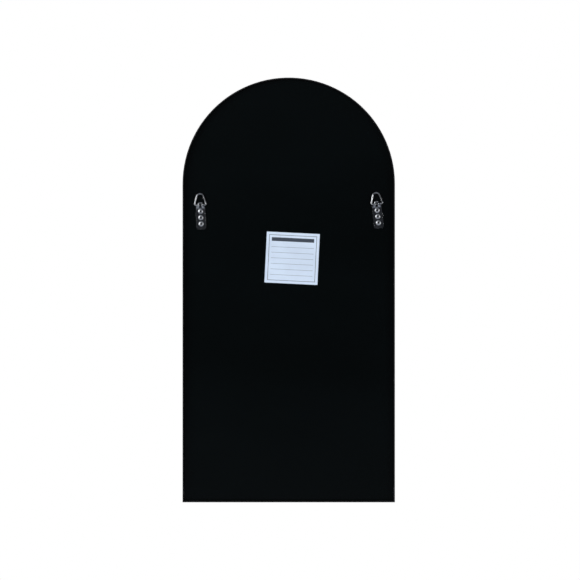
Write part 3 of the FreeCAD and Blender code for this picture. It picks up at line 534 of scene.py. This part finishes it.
class MIRROR_OT_build_stage(bpy.types.Operator):
    """Set up the white surroundings, the lamps and the camera"""
    bl_idname = "wall_mirror.build_stage"
    bl_label = "Build stage"
    lamp_target = Vector((0, 0, 0.56))
    # Angle from +Y towards +X, height angle, distance from the target and size of each softbox
    softboxes = {
        "key": (62, 13, 1.8, (1.0, 1.4)),
        "fill": (-62, -3, 1.8, (0.5, 0.6)),
        "front": (205, 35, 2.5, (1.2, 1.2)),
    }

    def execute(self, context):
        stage = context.scene.wall_mirror_stage
        context.scene.view_settings.view_transform = "Standard"
        self.surroundings(context.scene, stage)
        self.floor(stage)
        self.flag()
        self.reflected_wall()
        for name, placing in self.softboxes.items():
            softbox = self.softbox(f"{name}_softbox", *placing)
            softbox.data.energy = getattr(stage, f"{name}_power")
            # The glass shows the pale wall, and not the lamp that stands before it
            softbox.visible_glossy = name != "front"
        self.camera(context.scene, stage)
        return {"FINISHED"}

    def surroundings(self, scene, stage):
        """White to the eye, in metal and in glass, and a plain level of light everywhere else."""
        scene.world = bpy.data.worlds.new("white_studio")
        scene.world.use_nodes = True
        tree = scene.world.node_tree
        seen = add(tree, "LightPath", {}, "Is Camera Ray")
        rays = seen.node.outputs
        for ray in ("Is Glossy Ray", "Is Transmission Ray"):
            seen = add(tree, "Math", {0: seen, 1: rays[ray]}, operation="MAXIMUM")
        level = add(tree, "MapRange", {"Value": seen, "To Min": stage.ambient, "To Max": 1.0})
        feed(tree, tree.nodes["Background"], {"Color": stage.white, "Strength": level})

    def floor(self, stage):
        """Pale floor below a mirror that hangs on a wall. It fades into the background."""
        radius = 3.0
        fade_start, fade_end = radius * 0.3, radius * 0.8
        floor = begin(bpy.ops.mesh.primitive_circle_add, Matrix.Translation((0, 0, -stage.floor_drop)),
                      vertices=96, radius=radius, fill_type="NGON")
        bpy.ops.mesh.inset(thickness=radius / 2)
        close(floor)
        floor.name = "pale_floor"
        material, tree, shader, point = new_material("pale_floor")
        feed(tree, shader, {"Base Color": hex_colour("#F2F2F0"), "Roughness": 0.9})
        flat = add(tree, "VectorMath", {0: point, 1: (1, 1, 0)}, operation="MULTIPLY")
        reach = add(tree, "VectorMath", {0: flat}, "Value", operation="LENGTH")
        faded = add(tree, "MapRange", {"Value": reach, "From Min": fade_start, "From Max": fade_end})
        white = add(tree, "Emission", {"Color": stage.white, "Strength": 1.0})
        fading = add(tree, "MixShader", {0: faded, 1: shader.outputs[0], 2: white})
        feed(tree, tree.nodes["Material Output"], {"Surface": fading})
        floor.data.materials.append(material)
        floor.visible_glossy = False

    def card(self, piece, name, tint, strength):
        """Let a stage surface glow in reflections alone. Strength is given by a function on its nodes."""
        piece.name = name
        material, tree, _shader, point = new_material(name)
        glow = add(tree, "Emission", {"Color": hex_colour(tint), "Strength": strength(tree, point)})
        feed(tree, tree.nodes["Material Output"], {"Surface": glow})
        material.cycles.emission_sampling = "NONE"
        piece.data.materials.append(material)
        piece.visible_camera = piece.visible_diffuse = piece.visible_shadow = False

    def flag(self):
        """Dark dome behind the mirror, lighter overhead and low down, as in a studio with its lights off."""
        middle, radius, clearance, base_level = 0.4, 2.6, 0.3, 0.038
        # Heights over the middle where a step of light starts and ends, and what it adds
        steps = ((1.2, 2.4, 0.38), (-1.0, -1.8, 0.7), (0.48, 0.64, 0.05), (0.72, 0.9, -0.05),
                 (-0.28, -0.55, 0.035))
        dome = begin(bpy.ops.mesh.primitive_uv_sphere_add, Matrix.Translation((0, 0, middle)),
                     segments=48, ring_count=24, radius=radius)
        bpy.ops.mesh.bisect(plane_co=(0, clearance, 0), plane_no=(0, 1, 0), clear_inner=True)
        close(dome)

        def strength(tree, point):
            height = add(tree, "SeparateXYZ", {0: point}, "Z")
            level = base_level
            for start, end, change in steps:
                step = add(tree, "MapRange", {
                    "Value": height, "From Min": middle + start, "From Max": middle + end, "To Max": change})
                level = add(tree, "Math", {0: level, 1: step}, operation="ADD")
            return level

        self.card(dome, "dark_dome", "#E4ECFA", strength)

    def reflected_wall(self):
        """Curved pale wall in front of the glass, with slanted bands of daylight for the mirror to show."""
        middle, radius, wall_height, clearance = 0.4, 4.5, 7.0, 0.3
        slant, pitch, edge_share = 0.8, 1.9, 0.04
        shade_level, light_level = 0.52, 0.84
        wall = begin(bpy.ops.mesh.primitive_cylinder_add, Matrix.Translation((0, 0, middle)),
                     vertices=64, radius=radius, depth=wall_height, end_fill_type="NOTHING")
        bpy.ops.mesh.bisect(plane_co=(0, -clearance, 0), plane_no=(0, -1, 0), clear_inner=True)
        close(wall)

        def strength(tree, point):
            across = add(tree, "SeparateXYZ", {0: point}, "X")
            height = across.node.outputs["Z"]
            along = add(tree, "Math", {0: across, 1: slant, 2: height}, operation="MULTIPLY_ADD")
            bands = add(tree, "Math", {0: along, 1: pitch}, operation="DIVIDE")
            share = add(tree, "Math", {0: bands}, operation="FRACT")
            # A band starts at a short edge and then fades over its whole width
            edge = add(tree, "Math", {0: share, 1: edge_share}, operation="DIVIDE")
            fade = add(tree, "Math", {0: 1.0, 1: share}, operation="SUBTRACT")
            wave = add(tree, "Math", {0: edge, 1: fade}, operation="MINIMUM")
            return add(tree, "MapRange", {"Value": wave, "To Min": shade_level, "To Max": light_level})

        self.card(wall, "pale_wall", "#EEF2F4", strength)

    def softbox(self, name, turn, rise, distance, size):
        """Rectangular lamp that faces the target from an angle and a height angle."""
        turn, rise = math.radians(turn), math.radians(rise)
        away = Vector((math.sin(turn) * math.cos(rise), math.cos(turn) * math.cos(rise), math.sin(rise)))
        lamp = bpy.data.lights.new(name, "AREA")
        lamp.shape = "RECTANGLE"
        lamp.size, lamp.size_y = size
        softbox = bpy.data.objects.new(name, lamp)
        bpy.context.collection.objects.link(softbox)
        softbox.location = self.lamp_target + away * distance
        softbox.rotation_euler = away.to_track_quat("Z", "Y").to_euler()
        softbox.visible_camera = False
        return softbox

    def camera(self, scene, stage):
        """Camera square to the back of the mirror, as far off as the view's width and the lens ask."""
        camera = bpy.data.objects.new("camera", bpy.data.cameras.new("camera"))
        bpy.context.collection.objects.link(camera)
        camera.data.lens = stage.lens
        distance = stage.view_width * stage.lens / camera.data.sensor_width
        camera.location = (stage.view_x, distance, stage.view_z)
        camera.rotation_euler = (math.radians(90), 0, math.radians(180))
        scene.camera = camera


class MIRROR_OT_finish_frame(bpy.types.Operator):
    """Coat the frame and finish its brackets and screws"""
    bl_idname = "wall_mirror.finish_frame"
    bl_label = "Finish frame"

    def execute(self, context):
        colours = context.scene.wall_mirror_colours
        coat(powder_coat(colours), "frame_arch", "frame_bottom_rail")
        coat(zinc_plate(colours), *(f"corner_bracket_{side}" for side in SIDES))
        coat(blackened_steel(colours), "board_screws", *(f"corner_bracket_screws_{side}" for side in SIDES))
        return {"FINISHED"}


class MIRROR_OT_finish_glass(bpy.types.Operator):
    """Silver the glass and finish what holds it"""
    bl_idname = "wall_mirror.finish_glass"
    bl_label = "Finish glass"

    def execute(self, context):
        colours = context.scene.wall_mirror_colours
        coat(silvered_glass(colours), "mirror_glass")
        coat(gasket_rubber(colours), "lip_gasket", "setting_blocks")
        coat(safety_film(colours), "safety_film")
        coat(foam_tape(colours), "mounting_tape")
        return {"FINISHED"}


class MIRROR_OT_finish_board(bpy.types.Operator):
    """Paint the backing board"""
    bl_idname = "wall_mirror.finish_board"
    bl_label = "Finish board"

    def execute(self, context):
        coat(painted_board(context.scene.wall_mirror_colours), "backboard")
        return {"FINISHED"}


class MIRROR_OT_add_straps(bpy.types.Operator):
    """Fold the hanger straps round the bars of their rings"""
    bl_idname = "wall_mirror.add_straps"
    bl_label = "Add hanger straps"

    def execute(self, context):
        sizes = context.scene.wall_mirror_hanger
        finish = nickel("nickel_plated_sheet", context.scene.wall_mirror_colours,
                        roughness=(0.12, 0.24), streak=12, depth=0.02e-3)
        model = self.model(sizes)
        for side in SIDES:
            strap = put(model, f"folded_strap_{side}", hanger_place(side))
            dress(strap, finish, BODY, f"hanger_strap_{side}")
        bpy.data.objects.remove(model)
        return {"FINISHED"}

    def width_at(self, sizes, height):
        """Width of the strap at a height: neck, shoulders, then sides that spread towards the foot."""
        neck, shoulder = -sizes.neck_length, -sizes.neck_length - sizes.shoulder_length
        if height >= neck:
            return sizes.neck_width
        if height >= shoulder:
            share = (neck - height) / (neck - shoulder)
            return sizes.neck_width + (sizes.top_width - sizes.neck_width) * share
        share = (shoulder - height) / (shoulder + sizes.strap_length - sizes.foot_round)
        return sizes.top_width + (sizes.foot_width - sizes.top_width) * share

    def route(self, sizes):
        """Depth and height of the sheet's outside, from the front foot over the bar to the rear foot."""
        inside = sizes.wire / 2 + sizes.ring_fit
        outside = inside + sizes.sheet
        face = sizes.fold_gap + sizes.sheet - inside
        shoulder = -sizes.neck_length - sizes.shoulder_length
        along, across = math.cos(sizes.slope), math.sin(sizes.slope)
        flat_top = (face * along - outside) / across
        points = [
            (face, -sizes.strap_length),
            (face, flat_top - sizes.bend),
            (face + sizes.bend * across, flat_top + sizes.bend * along),
            ((outside + shoulder * across) / along, shoulder),
        ]
        slope_steps, fold_steps = 4, 12
        for step in range(slope_steps):
            turn = sizes.slope * (step / slope_steps - 1)
            points.append((outside * math.cos(turn), outside * math.sin(turn)))
        for step in range(fold_steps + 1):
            turn = math.pi * step / fold_steps
            points.append((outside * math.cos(turn), sizes.fold_rise + outside * math.sin(turn)))
        points += [(-outside, -sizes.neck_length), (-outside, shoulder), (-outside, -sizes.strap_length)]
        return points

    def model(self, sizes):
        """Strap with its bar along X: a strip run over the bar, made thick, then cut and rounded."""
        (depth, low), (_depth, high), *rest = self.route(sizes)
        width = self.width_at(sizes, low)
        start = Matrix.LocRotScale(Vector((0, depth, (low + high) / 2)), Euler((math.radians(-90), 0, 0)),
                                   Vector((width, high - low, 1)))
        strap = begin(bpy.ops.mesh.primitive_plane_add, start, size=1)
        choose(strap, "edges", lambda edge: all(vertex.co.z > high - TOLERANCE for vertex in edge.verts))
        narrowed = self.width_at(sizes, high)
        bpy.ops.transform.resize(value=(narrowed / width, 1, 1), center_override=(0, depth, high))
        before, width = (depth, high), narrowed
        for point in rest:
            extrude((0, point[0] - before[0], point[1] - before[1]))
            wanted = self.width_at(sizes, point[1])
            bpy.ops.transform.resize(value=(wanted / width, 1, 1), center_override=(0, *point))
            before, width = point, wanted
        choose(strap, "verts", lambda vertex: vertex.co.z < low + TOLERANCE)
        bpy.ops.mesh.bevel(offset=sizes.foot_round, segments=8, affect="VERTICES")
        bpy.ops.object.mode_set(mode="OBJECT")
        apply_modifier(strap, "SOLIDIFY", thickness=sizes.sheet, offset=-1, use_even_offset=True)
        self.notch(strap, sizes)
        for index in range(sizes.screw_count):
            drop = sizes.screw_drop + index * sizes.screw_pitch
            hole = begin(bpy.ops.mesh.primitive_cylinder_add,
                         Matrix.Translation((0, 0, -drop)) @ Matrix.Rotation(math.radians(90), 4, "X"),
                         vertices=32, radius=sizes.shank / 2 + sizes.screw_fit, depth=sizes.strap_length / 2)
            cut(strap, close(hole))
        self.round_fold(strap, sizes)
        soften(strap, sizes.edge_round, segments=4, angle=40)
        return strap

    def round_fold(self, strap, sizes):
        """Round the fold's outer edges, where the sheet was drawn over the bar, then those of the notch."""
        middle = sizes.wire / 2 + sizes.ring_fit + sizes.sheet / 2
        crease = math.radians(60)

        def outside(vertex):
            above = vertex.co.z - min(max(vertex.co.z, 0), sizes.fold_rise)
            return vertex.co.z > -sizes.neck_length - TOLERANCE and math.hypot(vertex.co.y, above) > middle

        def sharp(edge):
            return (edge.is_manifold and edge.calc_face_angle() > crease
                    and all(outside(vertex) for vertex in edge.verts))

        def at_notch(edge):
            return all(abs(vertex.co.x) < sizes.notch_foot / 2 for vertex in edge.verts)

        def at_tip(edge):
            return all(abs(vertex.co.z - sizes.notch_rise) < TOLERANCE for vertex in edge.verts)

        make_active(strap)
        bpy.ops.object.mode_set(mode="EDIT")
        choose(strap, "edges", lambda edge: sharp(edge) and not at_notch(edge))
        bpy.ops.mesh.bevel(offset=sizes.fold_round, segments=5, affect="EDGES")
        choose(strap, "edges", lambda edge: sharp(edge) and at_notch(edge) and not at_tip(edge))
        bpy.ops.mesh.bevel(offset=sizes.notch_round, segments=4, affect="EDGES")
        close(strap)

    def notch(self, strap, sizes):
        """Cut the tapered notch through the fold, which shows the gap between the wire's ends."""
        tall = sizes.notch_rise + sizes.notch_drop
        middle = (sizes.notch_rise - sizes.notch_drop) / 2
        wedge = begin(bpy.ops.mesh.primitive_cube_add,
                      Matrix.LocRotScale(Vector((0, 0, middle)), None,
                                         Vector((sizes.notch_foot, sizes.strap_length / 2, tall))), size=1)
        choose(wedge, "faces", lambda face: face.normal.z > FACING)
        bpy.ops.transform.resize(value=(sizes.notch_tip / sizes.notch_foot, 1, 1))
        cut(strap, close(wedge))


class MIRROR_OT_add_rings(bpy.types.Operator):
    """Bend the wire rings that hang in the straps"""
    bl_idname = "wall_mirror.add_rings"
    bl_label = "Add hanger rings"

    def execute(self, context):
        sizes = context.scene.wall_mirror_hanger
        finish = nickel("nickel_plated_wire", context.scene.wall_mirror_colours,
                        roughness=(0.24, 0.34), streak=3, depth=0.004e-3)
        model = self.model(sizes)
        for side in SIDES:
            slide = Matrix.Translation((getattr(sizes, f"slide_{side}"), 0, 0))
            ring = put(model, f"wire_ring_{side}", hanger_place(side) @ slide)
            dress(ring, finish, f"ring_{side}", f"hanger_ring_{side}")
        bpy.data.objects.remove(model)
        return {"FINISHED"}

    def model(self, sizes):
        """One half of the ring, from the wire's end in the fold to the apex, and its mirror image."""
        start = sizes.ring_gap / 2
        corner = Vector(((sizes.ring_width - sizes.wire) / 2 - sizes.ring_corner, 0, sizes.ring_corner))
        apex = Vector((0, 0, sizes.ring_height - sizes.ring_apex))
        span = apex - corner
        lean = math.atan2(span.z, span.x) - math.acos((sizes.ring_corner - sizes.ring_apex) / span.length)
        outward = Vector((math.cos(lean), 0, math.sin(lean)))
        ring = begin(bpy.ops.mesh.primitive_circle_add,
                     Matrix.Translation((start, 0, 0)) @ Matrix.Rotation(math.radians(90), 4, "Y"),
                     vertices=20, radius=sizes.wire / 2, fill_type="NGON")
        bpy.ops.mesh.select_all(action="SELECT")
        extrude((corner.x - start, 0, 0))
        bpy.ops.mesh.spin(steps=10, angle=math.radians(90) + lean, center=corner, axis=(0, 1, 0))
        extrude(apex + outward * sizes.ring_apex - corner - outward * sizes.ring_corner)
        bpy.ops.mesh.spin(steps=12, angle=math.radians(90) - lean, center=apex, axis=(0, 1, 0))
        bpy.ops.mesh.delete(type="ONLY_FACE")
        close(ring)
        apply_modifier(ring, "MIRROR", use_mirror_merge=True, merge_threshold=TOLERANCE)
        soften(ring, sizes.wire_round, segments=2, angle=60)
        return ring


class MIRROR_OT_add_screws(bpy.types.Operator):
    """Turn the pan-head screws of the hangers"""
    bl_idname = "wall_mirror.add_screws"
    bl_label = "Add hanger screws"
    # Degrees at which the recess of each screw came to rest
    driven_angles = {"left": (12, 58, 35), "right": (47, 24, 71)}

    def execute(self, context):
        sizes = context.scene.wall_mirror_hanger
        finish = nickel("nickel_plated_screw", context.scene.wall_mirror_colours,
                        roughness=(0.40, 0.52), streak=1, depth=0.02e-3)
        model = self.model(sizes)
        seat = sizes.fold_gap + sizes.sheet - sizes.wire / 2 - sizes.ring_fit
        for side in SIDES:
            angles = self.driven_angles[side]
            for index in range(sizes.screw_count):
                drop = sizes.screw_drop + index * sizes.screw_pitch
                angle = math.radians(angles[index % len(angles)])
                place = (hanger_place(side) @ Matrix.Translation((0, seat, -drop))
                         @ Matrix.Rotation(math.radians(-90), 4, "X") @ Matrix.Rotation(angle, 4, "Z"))
                screw = put(model, f"pan_head_screw_{side}_{index + 1}", place)
                dress(screw, finish, BODY, f"hanger_screws_{side}")
        bpy.data.objects.remove(model)
        return {"FINISHED"}

    def dome_curve(self, sizes):
        """Radius to which the top of the head is curved."""
        radius, dome = sizes.head / 2, sizes.head_height - sizes.head_rim
        return (radius ** 2 + dome ** 2) / (2 * dome)

    def model(self, sizes):
        """Screw along Z, with its seat at the origin: rim, dome, shank and point, then the recess."""
        steps, point_share = 8, 0.1
        radius, curve = sizes.head / 2, self.dome_curve(sizes)
        slope = math.asin(radius / curve)
        screw = begin(bpy.ops.mesh.primitive_circle_add, vertices=40, radius=radius, fill_type="NGON")
        bpy.ops.mesh.select_all(action="SELECT")
        extrude((0, 0, sizes.head_rim))
        height = 0.0
        for step in range(1, steps):
            angle = slope * (1 - step / steps)
            top = curve * (math.cos(angle) - math.cos(slope))
            extrude((0, 0, top - height))
            wanted = curve * math.sin(angle)
            bpy.ops.transform.resize(value=(wanted / radius, wanted / radius, 1))
            height, radius = top, wanted
        choose(screw, "faces", lambda face: abs(face.calc_center_median().z) < TOLERANCE)
        bpy.ops.mesh.inset(thickness=(sizes.head - sizes.shank) / 2)
        extrude((0, 0, sizes.screw_point - sizes.screw_length))
        extrude((0, 0, -sizes.screw_point))
        bpy.ops.transform.resize(value=(point_share, point_share, 1))
        close(screw)
        self.recess(screw, sizes)
        soften(screw, sizes.head_round, segments=2, angle=35)
        return screw

    def recess(self, screw, sizes):
        """Cut the cross recess: a cone with two wings, all narrower at the bottom."""
        # The cutters stand out of the head, so they are wider there than the recess shows
        lift = 0.5 * sizes.recess_depth
        wing_top, wing_taper, cone_top, cone_foot = 1.2, 0.45, 0.55, 0.2
        tall = sizes.recess_depth + lift
        middle = sizes.head_height + lift - tall / 2
        wing_size = Matrix.Diagonal((sizes.recess_length * wing_top, sizes.recess_width * wing_top, tall, 1))
        for turn in (0, 90):
            place = Matrix.Translation((0, 0, middle)) @ Matrix.Rotation(math.radians(turn), 4, "Z")
            wing = begin(bpy.ops.mesh.primitive_cube_add, place @ wing_size, size=1)
            choose(wing, "faces", lambda face: face.normal.z < -FACING)
            bpy.ops.transform.resize(value=(wing_taper, wing_taper, 1))
            cut(screw, close(wing))
        cone = begin(bpy.ops.mesh.primitive_cone_add, Matrix.Translation((0, 0, middle)), vertices=16,
                     radius1=sizes.recess_cone * cone_foot, radius2=sizes.recess_cone * cone_top, depth=tall)
        cut(screw, close(cone))
        self.mark_painted_shade(screw, sizes)

    def mark_painted_shade(self, screw, sizes):
        """Mark the faces of the recess, which are painted near black as painted shade."""
        grime = screw.data.attributes.new(PAINTED_SHADE, "FLOAT", "FACE")
        curve = self.dome_curve(sizes)
        middle = Vector((0, 0, sizes.head_height - curve))
        skin = sizes.head_rim / 4
        reach = (sizes.recess_length + sizes.recess_width) / 2
        for face in screw.data.polygons:
            deep = (face.center - middle).length < curve - skin
            inner = math.hypot(face.center.x, face.center.y) < reach
            grime.data[face.index].value = float(deep and inner and face.center.z > -TOLERANCE)


class MIRROR_OT_add_label(bpy.types.Operator):
    """Stick the paper label on the board"""
    bl_idname = "wall_mirror.add_label"
    bl_label = "Add label"

    def execute(self, context):
        sizes = context.scene.wall_mirror_label
        cells = 24
        low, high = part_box("paper_label")
        middle = (low + high) / 2
        upright = Matrix.Rotation(math.radians(180), 4, "Z") @ Matrix.Rotation(math.radians(90), 4, "X")
        place = (Matrix.Translation((middle.x, low.y, middle.z)) @ Matrix.Rotation(sizes.tilt, 4, "Y")
                 @ upright @ Matrix.Diagonal((sizes.width, sizes.height, 1, 1)))
        label = begin(bpy.ops.mesh.primitive_grid_add, place,
                      x_subdivisions=cells, y_subdivisions=cells, size=1)
        lifted = place @ Vector((0.5, -0.5, 0))
        choose(label, "verts", lambda vertex: (vertex.co - lifted).length < TOLERANCE)
        bpy.ops.transform.translate(value=(0, sizes.corner_lift, 0), use_proportional_edit=True,
                                    proportional_edit_falloff="SHARP", proportional_size=sizes.corner_curl)
        bpy.ops.object.mode_set(mode="OBJECT")
        apply_modifier(label, "SOLIDIFY", thickness=sizes.paper, offset=1)
        bpy.ops.object.shade_smooth_by_angle(angle=math.radians(30))
        label.name = "stuck_paper_label"
        finish = label_paper(context.scene.wall_mirror_colours, sizes)
        dress(label, finish, BODY, "paper_label")
        return {"FINISHED"}


class MIRROR_PT_tools(bpy.types.Panel):
    """Steps that finish the mirror, in order"""
    bl_idname = "MIRROR_PT_tools"
    bl_label = "Arched wall mirror"
    bl_space_type = "VIEW_3D"
    bl_region_type = "UI"
    bl_category = "Mirror"

    def draw(self, context):
        for step in STEPS:
            self.layout.operator(step.bl_idname)
        for group in GROUPS:
            settings = getattr(context.scene, group)
            for name in settings.bl_rna.properties.keys():
                if name not in ("rna_type", "name"):
                    self.layout.prop(settings, name)


GROUPS = {
    "wall_mirror_hanger": HangerSizes,
    "wall_mirror_label": LabelSizes,
    "wall_mirror_colours": FinishColours,
    "wall_mirror_stage": StageSizes,
}
STEPS = (
    MIRROR_OT_build_stage,
    MIRROR_OT_finish_frame,
    MIRROR_OT_finish_glass,
    MIRROR_OT_finish_board,
    MIRROR_OT_add_straps,
    MIRROR_OT_add_rings,
    MIRROR_OT_add_screws,
    MIRROR_OT_add_label,
)


def register():
    """Make the settings, steps and panel known to Blender."""
    for item in (*GROUPS.values(), *STEPS, MIRROR_PT_tools):
        bpy.utils.register_class(item)
    for name, group in GROUPS.items():
        setattr(bpy.types.Scene, name, bpy.props.PointerProperty(type=group))


def unregister():
    """Take the settings, steps and panel out again."""
    for name in GROUPS:
        delattr(bpy.types.Scene, name)
    for item in (MIRROR_PT_tools, *reversed(STEPS), *reversed(GROUPS.values())):
        bpy.utils.unregister_class(item)


def main():
    """Finish the mirror step by step."""
    register()
    bpy.ops.wall_mirror.build_stage()
    bpy.ops.wall_mirror.finish_frame()
    bpy.ops.wall_mirror.finish_glass()
    bpy.ops.wall_mirror.finish_board()
    bpy.ops.wall_mirror.add_straps()
    bpy.ops.wall_mirror.add_rings()
    bpy.ops.wall_mirror.add_screws()
    bpy.ops.wall_mirror.add_label()


if __name__ == "__main__":
    main()
